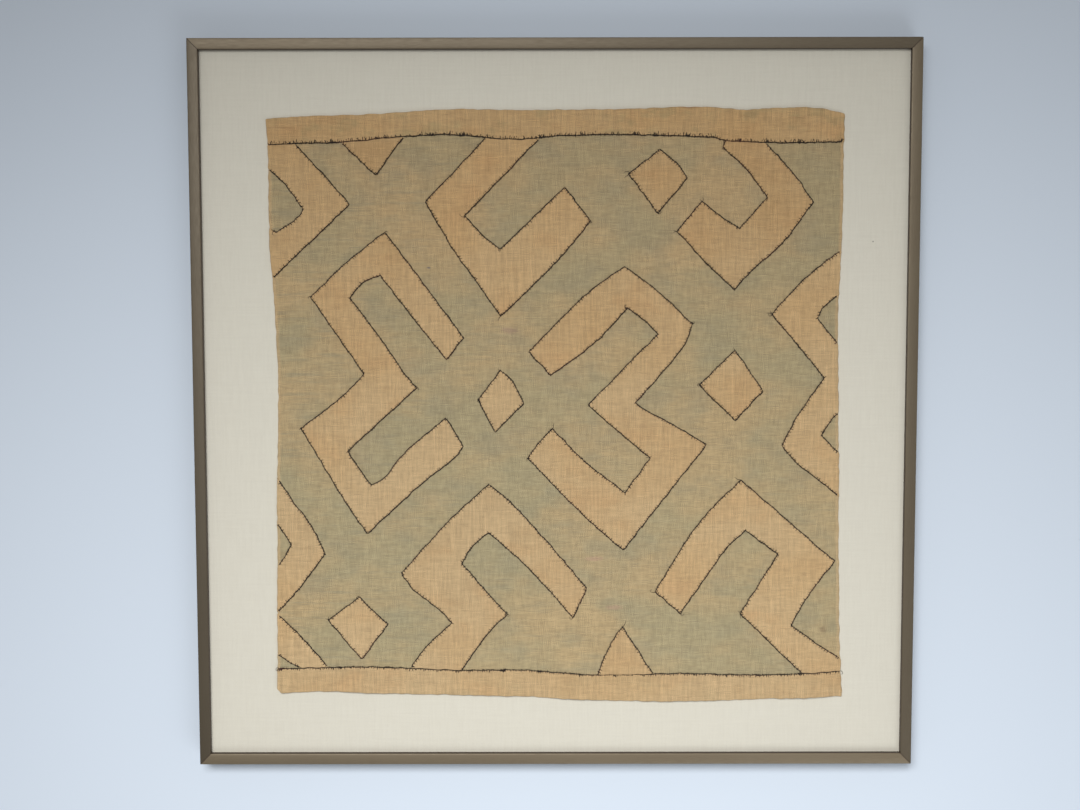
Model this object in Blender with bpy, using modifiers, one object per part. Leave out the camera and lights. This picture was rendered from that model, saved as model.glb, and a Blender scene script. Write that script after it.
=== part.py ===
# A framed kuba raffia cloth: a dyed, plain-woven raffia square with cut pieces of undyed
# raffia sewn on it in hooks, zigzags and diamonds, and a raffia band along its top and bottom.
# It is fixed to a linen-covered board in a slim mitred frame.
# The frame lies on its back: +Z points out of the cloth's face, +Y to its top edge, +X to its
# right, and the origin is at the middle of the frame's back.

import math

import bmesh
import bpy
from mathutils import Vector

MM = 0.001

# Frame, in millimetres
FRAME_WIDTH = 800
FRAME_HEIGHT = 805
FRAME_DEPTH = 30
RAIL_FACE = 12
RAIL_WALL = 6
LIP_DEPTH = 7
ARRIS_RADIUS = 0.8
SEAT_GAP = 0.3

# Board and cloth, in millimetres
BOARD_THICKNESS = 6
BOARD_EDGE_RADIUS = 1
CLOTH_THICKNESS = 1
BOARD_FRONT = FRAME_DEPTH - LIP_DEPTH - SEAT_GAP
GROUND_UNDERSIDE = BOARD_FRONT + SEAT_GAP
SEWN_UNDERSIDE = GROUND_UNDERSIDE + CLOTH_THICKNESS + SEAT_GAP

# The cloth's waves: a low ripple all over it, and a deeper, uneven one along its loose lower edge
RIPPLE_HEIGHT = 0.35
RIPPLE_ACROSS = 230
RIPPLE_UP = 310
LOWER_WAVE_HEIGHT = 1.1
LOWER_WAVE_LENGTH = 118
LOWER_WAVE_DRIFT = 310
LOWER_WAVE_TOP = -215
LOWER_WAVE_FULL = -325
GRID_PITCH = 30
GRID_WIDTH = 660
GRID_HEIGHT = 690
GRID_SHIFT = 0.4
CUTTER_HEIGHT = 40
CURVE_STEPS = 4

# Outlines are rows of (across, up) in millimetres from the frame's centre. A row that ends
# in "bend" is a point that the edge curves through, and any other row is a corner.
CLOTH_OUTLINE = [
    (-316, 316), (-293, 318, "bend"), (-198, 321, "bend"), (-118, 326, "bend"),
    (-38, 325, "bend"), (77, 326, "bend"), (171, 328, "bend"), (208, 325, "bend"),
    (247, 327, "bend"), (284, 327, "bend"), (316, 321), (316, 262, "bend"),
    (316, 210, "bend"), (313, 122, "bend"), (313, 48, "bend"), (315, -56, "bend"),
    (318, -215, "bend"), (320, -290, "bend"), (322, -326), (270, -328, "bend"),
    (172, -331, "bend"), (72, -331, "bend"), (17, -329, "bend"), (-40, -326, "bend"),
    (-117, -324, "bend"), (-198, -322, "bend"), (-261, -320, "bend"), (-308, -322),
    (-312, -317), (-311, -230, "bend"), (-309, -70, "bend"), (-307, 38, "bend"),
    (-310, 120, "bend"), (-314, 200, "bend"), (-314, 289, "bend"),
]

# Where each band's sewn edge runs, from left to right, past both sides of the cloth
TOP_SEAM = [
    (-340, 286), (-283, 290, "bend"), (-234, 291, "bend"), (-166, 297, "bend"),
    (-111, 299, "bend"), (-47, 294, "bend"), (19, 298, "bend"), (115, 298, "bend"),
    (175, 296), (186, 292), (228, 290, "bend"), (340, 291),
]
BOTTOM_SEAM = [
    (-340, -294), (-287, -294, "bend"), (-207, -292, "bend"), (-122, -296, "bend"),
    (-41, -296, "bend"), (5, -299, "bend"), (57, -302, "bend"), (137, -300, "bend"),
    (225, -302, "bend"), (340, -297),
]

# The sewn-on pieces. One that runs under a band or off the cloth's side is listed to beyond
# that edge, and is cut off there.
SEWN_PIECES = {
    "hook_top_left": [
        (-330, 304), (-298, 304), (-225, 224), (-330, 125), (-330, 208), (-306, 193),
        (-281, 210, "bend"), (-276, 218), (-296, 246, "bend"), (-330, 276),
    ],
    "triangle_top": [(-248, 304), (-196, 255), (-160, 304)],
    "hook_top": [
        (-65, 306), (-142, 226), (-109, 170, "bend"), (-83, 134, "bend"), (-60, 101),
        (2, 161, "bend"), (39, 205), (24, 224, "bend"), (11, 242), (-60, 174),
        (-79, 189, "bend"), (-99, 211), (-6, 306),
    ],
    "diamond_top": [(115, 282), (134, 267, "bend"), (145, 252), (113, 213), (81, 256)],
    "hook_top_right": [
        (214, 304), (257, 261, "bend"), (274, 239, "bend"), (283, 225), (246, 176, "bend"),
        (221, 155, "bend"), (198, 130), (173, 152, "bend"), (146, 181, "bend"), (134, 193),
        (161, 226), (183, 209, "bend"), (203, 196), (233, 230), (208, 263, "bend"),
        (184, 284), (189, 304),
    ],
    "zigzag_right": [
        (335, 187), (278, 144, "bend"), (261, 127, "bend"), (239, 102), (271, 65, "bend"),
        (298, 32), (266, -15, "bend"), (252, -43), (269, -63, "bend"), (290, -79, "bend"),
        (335, -117), (335, -72), (295, -32), (306, -15, "bend"), (335, 18), (335, 41),
        (289, 98), (296, 110, "bend"), (335, 138),
    ],
    "zigzag_left": [
        (-187, 193), (-112, 92, "bend"), (-101, 77), (-120, 53), (-171, 118, "bend"),
        (-192, 146), (-213, 137, "bend"), (-226, 121), (-187, 68, "bend"),
        (-158, 26, "bend"), (-153, 22), (-231, -49), (-205, -87), (-193, -81, "bend"),
        (-169, -53, "bend"), (-121, -12), (-102, -44), (-112, -56, "bend"),
        (-150, -86, "bend"), (-209, -141), (-226, -117, "bend"), (-282, -23),
        (-236, 12, "bend"), (-211, 37), (-240, 79, "bend"), (-269, 122),
        (-231, 158, "bend"),
    ],
    "diamond_centre": [(-60, 41), (-44, 24, "bend"), (-35, 4), (-67, -28), (-85, 8)],
    "zigzag_centre": [
        (77, 155), (114, 127, "bend"), (151, 92), (146, 75, "bend"), (135, 58, "bend"),
        (106, 24, "bend"), (89, 5), (97, -2, "bend"), (124, -16, "bend"), (168, -42),
        (76, -160), (34, -123, "bend"), (-30, -57), (-17, -39, "bend"), (-3, -24),
        (32, -60, "bend"), (48, -73, "bend"), (78, -96), (92, -76, "bend"), (106, -57),
        (36, 2), (114, 81), (97, 97, "bend"), (80, 110), (54, 81, "bend"),
        (30, 60, "bend"), (-5, 36), (-29, 61), (8, 99, "bend"), (40, 129, "bend"),
    ],
    "diamond_right": [(199, 63), (230, 18), (200, -15), (160, 24)],
    "hook_left": [
        (-330, -44), (-291, -107), (-272, -132, "bend"), (-257, -164), (-284, -200),
        (-311, -230), (-330, -230), (-330, -211), (-294, -154), (-330, -96),
    ],
    "corner_left": [
        (-330, -232), (-311, -232), (-282, -261), (-264, -282), (-245, -306), (-264, -306),
        (-288, -292), (-302, -284, "bend"), (-330, -259),
    ],
    "diamond_left": [(-219, -213), (-188, -244), (-217, -283), (-254, -239)],
    "hook_bottom": [
        (-74, -86), (-118, -127, "bend"), (-172, -186), (-159, -204, "bend"),
        (-135, -223, "bend"), (-115, -242), (-152, -278, "bend"), (-170, -310),
        (-115, -310), (-87, -269), (-70, -248, "bend"), (-54, -233), (-105, -175),
        (-90, -153, "bend"), (-74, -140), (-35, -175, "bend"), (20, -236), (35, -203),
        (-10, -150, "bend"), (-51, -105, "bend"),
    ],
    "triangle_bottom": [(75, -247), (62, -267, "bend"), (44, -312), (117, -312)],
    "hook_bottom_right": [
        (207, -82), (165, -124, "bend"), (112, -207), (140, -232), (176, -179, "bend"),
        (193, -156, "bend"), (212, -138), (249, -165), (207, -232), (285, -308),
        (335, -308), (335, -295), (264, -246), (277, -221, "bend"), (312, -173),
    ],
}


def clear_scene():
    for old in list(bpy.data.objects):
        bpy.data.objects.remove(old)


def new_collection(name):
    made = bpy.data.collections.new(name)
    bpy.context.scene.collection.children.link(made)
    return made


def plain_material(name, colour, roughness, metallic=0.0):
    """A Principled finish in one colour."""
    made = bpy.data.materials.new(name)
    made.use_nodes = True
    shader = made.node_tree.nodes["Principled BSDF"]
    shader.inputs["Base Color"].default_value = (*colour, 1.0)
    shader.inputs["Roughness"].default_value = roughness
    shader.inputs["Metallic"].default_value = metallic
    made.diffuse_color = (*colour, 1.0)
    return made


def smooth_step(start, end, value):
    """0 at start, 1 at end, and an even slope between them."""
    share = min(max((value - start) / (end - start), 0.0), 1.0)
    return share * share * (3.0 - 2.0 * share)


def cloth_wave(across, up):
    """How far the cloth stands off the linen at a point, in millimetres."""
    turn = 2.0 * math.pi
    ripple = 1.0 + math.sin(turn * (across / RIPPLE_ACROSS + up / RIPPLE_UP))
    drift = math.sin(turn * across / LOWER_WAVE_DRIFT)
    lower = 1.0 + math.sin(turn * across / LOWER_WAVE_LENGTH + drift)
    share = smooth_step(LOWER_WAVE_TOP, LOWER_WAVE_FULL, up)
    return RIPPLE_HEIGHT * ripple + LOWER_WAVE_HEIGHT * lower * share


def outline_curve(name, rows, half_height):
    """A filled flat outline through the rows, as a curve that is extruded both ways."""
    curve = bpy.data.curves.new(name, "CURVE")
    curve.dimensions = "2D"
    curve.fill_mode = "BOTH"
    curve.extrude = half_height * MM
    curve.resolution_u = CURVE_STEPS
    spline = curve.splines.new("BEZIER")
    spline.bezier_points.add(len(rows) - 1)
    spline.use_cyclic_u = True
    for point, row in zip(spline.bezier_points, rows):
        point.co = Vector((row[0], row[1], 0)) * MM
        handle = "AUTO" if row[-1] == "bend" else "VECTOR"
        point.handle_left_type = handle
        point.handle_right_type = handle
    return curve


def mesh_from_curve(name, curve, collection, location=(0, 0, 0), rotation=(0, 0, 0)):
    """The curve's closed mesh, with its caps welded on, as an object in place."""
    guide = bpy.data.objects.new(name + "_guide", curve)
    bpy.context.scene.collection.objects.link(guide)
    guide.location = location
    guide.rotation_euler = rotation
    bpy.context.view_layer.update()
    graph = bpy.context.evaluated_depsgraph_get()
    mesh = bpy.data.meshes.new_from_object(guide.evaluated_get(graph))
    made = bpy.data.objects.new(name, mesh)
    made.matrix_world = guide.matrix_world.copy()
    collection.objects.link(made)
    bpy.data.objects.remove(guide)
    shape = bmesh.new()
    shape.from_mesh(mesh)
    bmesh.ops.remove_doubles(shape, verts=shape.verts, dist=1e-6)
    bmesh.ops.recalc_face_normals(shape, faces=shape.faces)
    shape.to_mesh(mesh)
    shape.free()
    mesh.name = name
    return made


def cutter_from_outline(name, rows):
    """A tall hidden prism on the outline, which trims a sheet to it."""
    curve = outline_curve(name, rows, CUTTER_HEIGHT / 2)
    cutter = mesh_from_curve(name, curve, cutters)
    cutter.location.z = GROUND_UNDERSIDE * MM
    cutter.hide_render = True
    cutter.display_type = "WIRE"
    return cutter


def keep_inside(piece, cutter):
    trim = piece.modifiers.new("trim to " + cutter.name, "BOOLEAN")
    trim.operation = "INTERSECT"
    trim.solver = "EXACT"
    trim.object = cutter


def waved_sheet(name, underside, material):
    """A sheet of raffia cloth that follows the waves, larger all round than the cloth."""
    bpy.ops.mesh.primitive_grid_add(
        x_subdivisions=round(GRID_WIDTH / GRID_PITCH),
        y_subdivisions=round(GRID_HEIGHT / GRID_PITCH),
        size=2,
    )
    sheet = bpy.context.object
    sheet.name = name
    sheet.data.name = name
    for vertex in sheet.data.vertices:
        across = vertex.co.x * GRID_WIDTH / 2 + GRID_SHIFT
        up = vertex.co.y * GRID_HEIGHT / 2 + GRID_SHIFT
        vertex.co = Vector((across, up, underside + cloth_wave(across, up))) * MM
    for holder in list(sheet.users_collection):
        holder.objects.unlink(sheet)
    parts.objects.link(sheet)
    sheet.data.materials.append(material)
    split = sheet.modifiers.new("even triangles", "TRIANGULATE")
    split.quad_method = "FIXED"
    thicken = sheet.modifiers.new("cloth thickness", "SOLIDIFY")
    thicken.thickness = CLOTH_THICKNESS * MM
    thicken.offset = 1
    return sheet


def add_rail(name, length, reach, turn, material):
    """A mitred rail of L section along one side, its outer face at reach from the centre."""
    eased = ARRIS_RADIUS * (1 - math.sqrt(0.5))
    inner_front = RAIL_FACE - ARRIS_RADIUS
    section = [
        (0, 0), (RAIL_WALL, 0), (RAIL_WALL, FRAME_DEPTH - LIP_DEPTH),
        (RAIL_FACE, FRAME_DEPTH - LIP_DEPTH), (RAIL_FACE, FRAME_DEPTH - ARRIS_RADIUS),
        (RAIL_FACE - eased, FRAME_DEPTH - eased), (inner_front, FRAME_DEPTH),
        (ARRIS_RADIUS, FRAME_DEPTH), (eased, FRAME_DEPTH - eased),
        (0, FRAME_DEPTH - ARRIS_RADIUS),
    ]
    curve = outline_curve(name, section, length / 2)
    outward = Vector((math.sin(turn), -math.cos(turn), 0))
    rail = mesh_from_curve(
        name, curve, parts, outward * reach * MM, (math.pi / 2, 0, math.pi / 2 + turn)
    )
    shape = bmesh.new()
    shape.from_mesh(rail.data)
    for side in (1, -1):
        bmesh.ops.bisect_plane(
            shape,
            geom=shape.verts[:] + shape.edges[:] + shape.faces[:],
            plane_co=Vector((0, 0, side * (length / 2 - SEAT_GAP / 2))) * MM,
            plane_no=Vector((1, 0, side)),
            clear_outer=True,
        )
        bmesh.ops.holes_fill(shape, edges=[e for e in shape.edges if e.is_boundary])
    bmesh.ops.recalc_face_normals(shape, faces=shape.faces)
    shape.to_mesh(rail.data)
    shape.free()
    rail.data.materials.append(material)
    return rail


def add_board(material):
    """The linen-covered board in the frame's rabbet, behind the lips."""
    width = FRAME_WIDTH - 2 * (RAIL_WALL + SEAT_GAP)
    height = FRAME_HEIGHT - 2 * (RAIL_WALL + SEAT_GAP)
    bpy.ops.mesh.primitive_cube_add(size=1)
    board = bpy.context.object
    board.name = "mount_board"
    board.data.name = "mount_board"
    for vertex in board.data.vertices:
        vertex.co = Vector(
            (vertex.co.x * width, vertex.co.y * height, vertex.co.z * BOARD_THICKNESS)
        ) * MM
    board.location.z = (BOARD_FRONT - BOARD_THICKNESS / 2) * MM
    for holder in list(board.users_collection):
        holder.objects.unlink(board)
    parts.objects.link(board)
    soften = board.modifiers.new("wrapped edge", "BEVEL")
    soften.width = BOARD_EDGE_RADIUS * MM
    soften.segments = 2
    board.data.materials.append(material)
    return board


def shifted(rows, up):
    """The rows moved up the cloth by a distance."""
    return [(row[0], row[1] + up, *row[2:]) for row in rows]


clear_scene()
parts = new_collection("framed_kuba_cloth")
cutters = new_collection("cutters")

bronze = plain_material("bronze_leaf", (0.17, 0.14, 0.10), 0.42, 0.75)
linen = plain_material("mount_linen", (0.66, 0.64, 0.57), 0.95)
dyed_raffia = plain_material("dyed_raffia", (0.36, 0.32, 0.21), 0.85)
undyed_raffia = plain_material("undyed_raffia", (0.54, 0.37, 0.20), 0.85)

# Frame: four mitred rails, turned about the centre from the bottom one
for rail_name, length, reach, quarter in (
    ("rail_bottom", FRAME_WIDTH, FRAME_HEIGHT / 2, 0),
    ("rail_right", FRAME_HEIGHT, FRAME_WIDTH / 2, 1),
    ("rail_top", FRAME_WIDTH, FRAME_HEIGHT / 2, 2),
    ("rail_left", FRAME_HEIGHT, FRAME_WIDTH / 2, 3),
):
    add_rail(rail_name, length, reach, quarter * math.pi / 2, bronze)
add_board(linen)

# Ground cloth
far_up = FRAME_HEIGHT / 2
far_across = TOP_SEAM[-1][0]
cloth_trim = cutter_from_outline("cloth_outline", CLOTH_OUTLINE)
ground = waved_sheet("ground_cloth", GROUND_UNDERSIDE, dyed_raffia)
keep_inside(ground, cloth_trim)

# Bands along the top and bottom
top_trim = cutter_from_outline(
    "top_band_area", TOP_SEAM + [(far_across, far_up), (-far_across, far_up)]
)
bottom_trim = cutter_from_outline(
    "bottom_band_area", BOTTOM_SEAM + [(far_across, -far_up), (-far_across, -far_up)]
)
for band_name, band_trim in (("band_top", top_trim), ("band_bottom", bottom_trim)):
    band = waved_sheet(band_name, SEWN_UNDERSIDE, undyed_raffia)
    keep_inside(band, cloth_trim)
    keep_inside(band, band_trim)

# Sewn-on pieces, each cut off where it would pass a band's seam or the cloth's side
field_rows = shifted(TOP_SEAM, -SEAT_GAP) + shifted(BOTTOM_SEAM, SEAT_GAP)[::-1]
field_trim = cutter_from_outline("field_area", field_rows)
keep_inside(field_trim, cloth_trim)
for piece_name, rows in SEWN_PIECES.items():
    patch = waved_sheet("patch_" + piece_name, SEWN_UNDERSIDE, undyed_raffia)
    keep_inside(patch, field_trim)
    keep_inside(patch, cutter_from_outline(piece_name + "_outline", rows))
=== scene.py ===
# Framed kuba raffia cloth: fine cloth, stitching, linen, rails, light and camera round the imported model.
# Lengths are in metres. The cloth lies face up, with its top edge towards +Y.
import math
import random

import bmesh
import bpy
import numpy as np
from mathutils import Euler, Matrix, Vector, geometry, kdtree, noise


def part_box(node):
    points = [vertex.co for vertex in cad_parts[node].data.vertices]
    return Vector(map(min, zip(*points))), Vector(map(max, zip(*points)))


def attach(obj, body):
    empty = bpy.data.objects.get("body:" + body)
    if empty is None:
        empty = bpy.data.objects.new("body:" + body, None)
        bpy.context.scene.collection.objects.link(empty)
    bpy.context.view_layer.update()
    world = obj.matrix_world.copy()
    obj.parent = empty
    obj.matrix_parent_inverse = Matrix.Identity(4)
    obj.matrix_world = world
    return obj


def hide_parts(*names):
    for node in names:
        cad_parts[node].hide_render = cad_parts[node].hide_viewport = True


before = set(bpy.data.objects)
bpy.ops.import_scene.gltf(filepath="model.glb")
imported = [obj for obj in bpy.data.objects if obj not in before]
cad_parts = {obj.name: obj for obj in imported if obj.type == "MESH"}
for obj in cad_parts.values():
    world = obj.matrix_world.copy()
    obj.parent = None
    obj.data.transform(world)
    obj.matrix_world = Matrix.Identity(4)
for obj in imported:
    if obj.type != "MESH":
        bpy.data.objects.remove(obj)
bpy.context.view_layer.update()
mm = 0.001
tau = 2 * math.pi
noise.seed_set(7)  # noise_vector takes its offsets from this seed, and from the clock without it
print("frame loaded:", len(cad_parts), "nodes")


# Small helpers

def deselectAll():
    for item in list(bpy.context.selected_objects):
        item.select_set(False)


def makeActive(piece):
    deselectAll()
    piece.select_set(True)
    bpy.context.view_layer.objects.active = piece


def applyModifier(piece, kind, **settings):
    makeActive(piece)
    added = piece.modifiers.new(kind.lower(), kind)
    for name, value in settings.items():
        setattr(added, name, value)
    bpy.ops.object.modifier_apply(modifier=added.name)


def newPiece(name, points, faces):
    mesh = bpy.data.meshes.new(name)
    mesh.from_pydata(points, [], faces)
    mesh.update()
    piece = bpy.data.objects.new(name, mesh)
    bpy.context.scene.collection.objects.link(piece)
    return piece


def shadeSmooth(piece, degrees):
    makeActive(piece)
    bpy.ops.object.shade_smooth_by_angle(angle=math.radians(degrees))


def dress(piece, material, slotName, *nodes):
    # last step of every piece: its finish, its body and the solids that it stands for
    piece.data.materials.clear()
    piece.data.materials.append(material)
    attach(piece, "root")
    if nodes:
        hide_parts(*nodes)


def easeStep(start, end, value):
    share = np.clip((value - start) / (end - start), 0.0, 1.0)
    return share * share * (3.0 - 2.0 * share)


# Node helpers

def addNode(tree, kind, values=None, **settings):
    node = tree.nodes.new("ShaderNode" + kind)
    for name, value in settings.items():
        setattr(node, name, value)
    for socket, value in (values or {}).items():
        if isinstance(value, bpy.types.NodeSocket):
            tree.links.new(value, node.inputs[socket])
        else:
            node.inputs[socket].default_value = value
    return node


def mathNode(tree, operation, a, b=0.0, c=0.0, clamp=False):
    return addNode(tree, "Math", {0: a, 1: b, 2: c}, operation=operation, use_clamp=clamp).outputs[0]


def mixColour(tree, share, a, b, blend="MIX"):
    node = addNode(
        tree, "Mix", {"Factor": share, 6: a, 7: b}, data_type="RGBA", blend_type=blend
    )
    return node.outputs[2]


def remap(tree, value, low, high, toLow=0.0, toHigh=1.0, kind="SMOOTHSTEP"):
    node = addNode(
        tree, "MapRange",
        {"Value": value, "From Min": low, "From Max": high, "To Min": toLow, "To Max": toHigh},
        interpolation_type=kind,
    )
    return node.outputs[0]


def noiseValue(tree, vector, scale, detail=2.0, rough=0.5):
    node = addNode(
        tree, "TexNoise",
        {"Vector": vector, "Scale": scale, "Detail": detail, "Roughness": rough},
    )
    return node.outputs[0]


def newGroup(name, takes, gives):
    tree = bpy.data.node_groups.new(name, "ShaderNodeTree")
    for label, kind in takes:
        tree.interface.new_socket(label, in_out="INPUT", socket_type="NodeSocket" + kind)
    for label, kind in gives:
        tree.interface.new_socket(label, in_out="OUTPUT", socket_type="NodeSocket" + kind)
    return tree, tree.nodes.new("NodeGroupInput"), tree.nodes.new("NodeGroupOutput")


def useGroup(tree, group, values):
    node = tree.nodes.new("ShaderNodeGroup")
    node.node_tree = group
    for socket, value in values.items():
        if isinstance(value, bpy.types.NodeSocket):
            tree.links.new(value, node.inputs[socket])
        else:
            node.inputs[socket].default_value = value
    return node.outputs


def stretched(tree, vector, along, across):
    # the vector with its X and Y scaled, so that a noise on it draws out into streaks
    node = addNode(tree, "Mapping", {"Vector": vector, "Scale": (along, across, 1.0)})
    return node.outputs[0]


def newMaterial(name):
    material = bpy.data.materials.new(name)
    material.use_nodes = True
    tree = material.node_tree
    shader = tree.nodes["Principled BSDF"]
    return material, tree, shader


# Plain weave, used by the raffia and the linen

def makeWeaveGroup():
    tree, taken, given = newGroup(
        "plainWeave",
        [("Vector", "Vector"), ("Warp Width", "Float"), ("Weft Width", "Float"),
         ("Wander", "Float"), ("Streak Length", "Float")],
        [("Height", "Float"), ("Warp Tone", "Float"), ("Weft Tone", "Float"), ("Tone", "Float")],
    )
    place = taken.outputs["Vector"]
    bend = addNode(tree, "TexNoise", {"Vector": place, "Scale": 45.0, "Detail": 3.0, "Roughness": 0.6})
    centred = addNode(
        tree, "VectorMath", {0: bend.outputs["Color"], 1: (0.5, 0.5, 0.5)}, operation="SUBTRACT"
    )
    drift = addNode(
        tree, "VectorMath", {0: centred.outputs[0], "Scale": taken.outputs["Wander"]}, operation="SCALE"
    )
    moved = addNode(tree, "VectorMath", {0: place, 1: drift.outputs[0]}, operation="ADD")
    parts = addNode(tree, "SeparateXYZ", {0: moved.outputs[0]})
    columns = mathNode(tree, "DIVIDE", parts.outputs[0], taken.outputs["Warp Width"])
    rows = mathNode(tree, "DIVIDE", parts.outputs[1], taken.outputs["Weft Width"])
    column = mathNode(tree, "FLOOR", columns)
    row = mathNode(tree, "FLOOR", rows)
    over = mathNode(tree, "FLOORED_MODULO", mathNode(tree, "ADD", column, row), 2.0)
    arches = []
    for share in (mathNode(tree, "FRACT", columns), mathNode(tree, "FRACT", rows)):
        gap = mathNode(tree, "MULTIPLY", share, mathNode(tree, "SUBTRACT", 1.0, share))
        arches.append(mathNode(tree, "MULTIPLY", gap, 4.0))
    warpArch, weftArch = arches
    warpHeight = mathNode(
        tree, "MULTIPLY", warpArch, mathNode(tree, "MULTIPLY_ADD", weftArch, 0.6, 0.4)
    )
    weftHeight = mathNode(
        tree, "MULTIPLY", weftArch, mathNode(tree, "MULTIPLY_ADD", warpArch, 0.6, 0.4)
    )
    height = addNode(tree, "Mix", {"Factor": over, 2: weftHeight, 3: warpHeight}, data_type="FLOAT")
    tones = []
    for thread, along in ((column, parts.outputs[1]), (row, parts.outputs[0])):
        # each thread takes its own place in a noise that changes slowly along it
        run = mathNode(tree, "DIVIDE", along, taken.outputs["Streak Length"])
        spot = addNode(
            tree, "CombineXYZ", {0: mathNode(tree, "MULTIPLY", thread, 3.71), 1: run, 2: 0.5}
        )
        tones.append(noiseValue(tree, spot.outputs[0], 1.0, 1.0, 0.4))
    tone = addNode(tree, "Mix", {"Factor": over, 2: tones[1], 3: tones[0]}, data_type="FLOAT")
    tree.links.new(height.outputs[0], given.inputs["Height"])
    tree.links.new(tones[0], given.inputs["Warp Tone"])
    tree.links.new(tones[1], given.inputs["Weft Tone"])
    tree.links.new(tone.outputs[0], given.inputs["Tone"])
    return tree


# Broad uneven patches of colour, longer across than up, used by every cloth

def makeBlotchGroup():
    tree, taken, given = newGroup(
        "softBlotches",
        [("Vector", "Vector"), ("Size", "Float"), ("Low", "Float"), ("High", "Float")],
        [("Mask", "Float")],
    )
    pulled = stretched(tree, taken.outputs["Vector"], 0.7, 1.2)
    scale = mathNode(tree, "DIVIDE", 1.0, taken.outputs["Size"])
    cloud = noiseValue(tree, pulled, scale, 4.0, 0.55)
    mask = remap(tree, cloud, taken.outputs["Low"], taken.outputs["High"])
    tree.links.new(mask, given.inputs["Mask"])
    return tree


weaveGroup = makeWeaveGroup()
blotchGroup = makeBlotchGroup()


# Raffia

raffiaLook = {
    "warpWidth": 1.15 * mm,
    "weftWidth": 1.3 * mm,
    "wander": 1.6 * mm,
    "streakLength": 11 * mm,
    "weaveDepth": 0.20 * mm,
    "roughness": (0.66, 0.84),
}
undyedLook = {
    "pale": (0.565, 0.408, 0.226, 1),
    "warm": (0.548, 0.376, 0.194, 1),
    "ruddy": (0.545, 0.345, 0.175, 1),
    "fleck": (0.400, 0.262, 0.135, 1),
    "mottle": (0.375, 0.330, 0.185, 1),
    "bandStreak": (0.300, 0.165, 0.095, 1),
    "aged": (0.94, 0.87, 0.78, 1),
    "streakShade": 0.17,
    "ribShade": 0.070,
    "barShade": 0.030,
}
dyedLook = {
    "green": (0.405, 0.342, 0.202, 1),
    "brown": (0.482, 0.364, 0.200, 1),
    "grey": (0.318, 0.290, 0.194, 1),
    "faded": (0.545, 0.400, 0.225, 1),
    "aged": (1.02, 0.95, 0.90, 1),
    "streakShade": 0.22,
}
# marks on the ground: across, up, half width, half height, colour and strength
stains = [
    (-139 * mm, 154 * mm, 2.3 * mm, 1.5 * mm, (0.110, 0.115, 0.150, 1), 0.65),
    (-50 * mm, 85 * mm, 11 * mm, 4 * mm, (0.330, 0.215, 0.185, 1), 0.40),
    (17 * mm, 100 * mm, 9 * mm, 4 * mm, (0.330, 0.215, 0.185, 1), 0.35),
    (44 * mm, -170 * mm, 12 * mm, 3 * mm, (0.520, 0.310, 0.235, 1), 0.40),
    (66 * mm, -225 * mm, 11 * mm, 3 * mm, (0.520, 0.310, 0.235, 1), 0.35),
    (300 * mm, -250 * mm, 4 * mm, 4 * mm, (0.220, 0.150, 0.090, 1), 0.50),
]


def weaveOn(tree, place, look):
    return useGroup(tree, weaveGroup, {
        "Vector": place, "Warp Width": look["warpWidth"], "Weft Width": look["weftWidth"],
        "Wander": look["wander"], "Streak Length": look["streakLength"],
    })


def threadToneAndHollowShade(tree, colour, weave, amount):
    # threads differ in tone, and the hollows between them get painted shade
    tone = remap(tree, weave["Tone"], 0.25, 0.75, 1.0 - amount, 1.0 + amount, "LINEAR")
    # painted shade: the low parts of the weave are darkened
    paintedHollowShade = remap(tree, weave["Height"], 0.0, 0.45, 0.80, 1.0, "LINEAR")
    shade = mathNode(tree, "MULTIPLY", tone, paintedHollowShade)
    grey = addNode(tree, "CombineColor", {0: shade, 1: shade, 2: shade}).outputs[0]
    return mixColour(tree, 1.0, colour, grey, "MULTIPLY")


def agedTowardsTop(tree, place, colour, shade):
    # the upper half of the cloth has browned with age
    up = addNode(tree, "SeparateXYZ", {0: place}).outputs[1]
    aged = mixColour(tree, remap(tree, up, -0.08, 0.33, kind="LINEAR"), (1.0, 1.0, 1.0, 1), shade)
    return mixColour(tree, 1.0, colour, aged, "MULTIPLY")


def finishCloth(tree, shader, colour, height, depth, rough):
    bump = addNode(tree, "Bump", {"Height": height, "Distance": depth, "Strength": 1.0})
    tree.links.new(colour, shader.inputs["Base Color"])
    tree.links.new(rough, shader.inputs["Roughness"])
    tree.links.new(bump.outputs[0], shader.inputs["Normal"])
    shader.inputs["Specular IOR Level"].default_value = 0.25
    shader.inputs["Sheen Weight"].default_value = 0.08
    shader.inputs["Sheen Roughness"].default_value = 0.5


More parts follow.
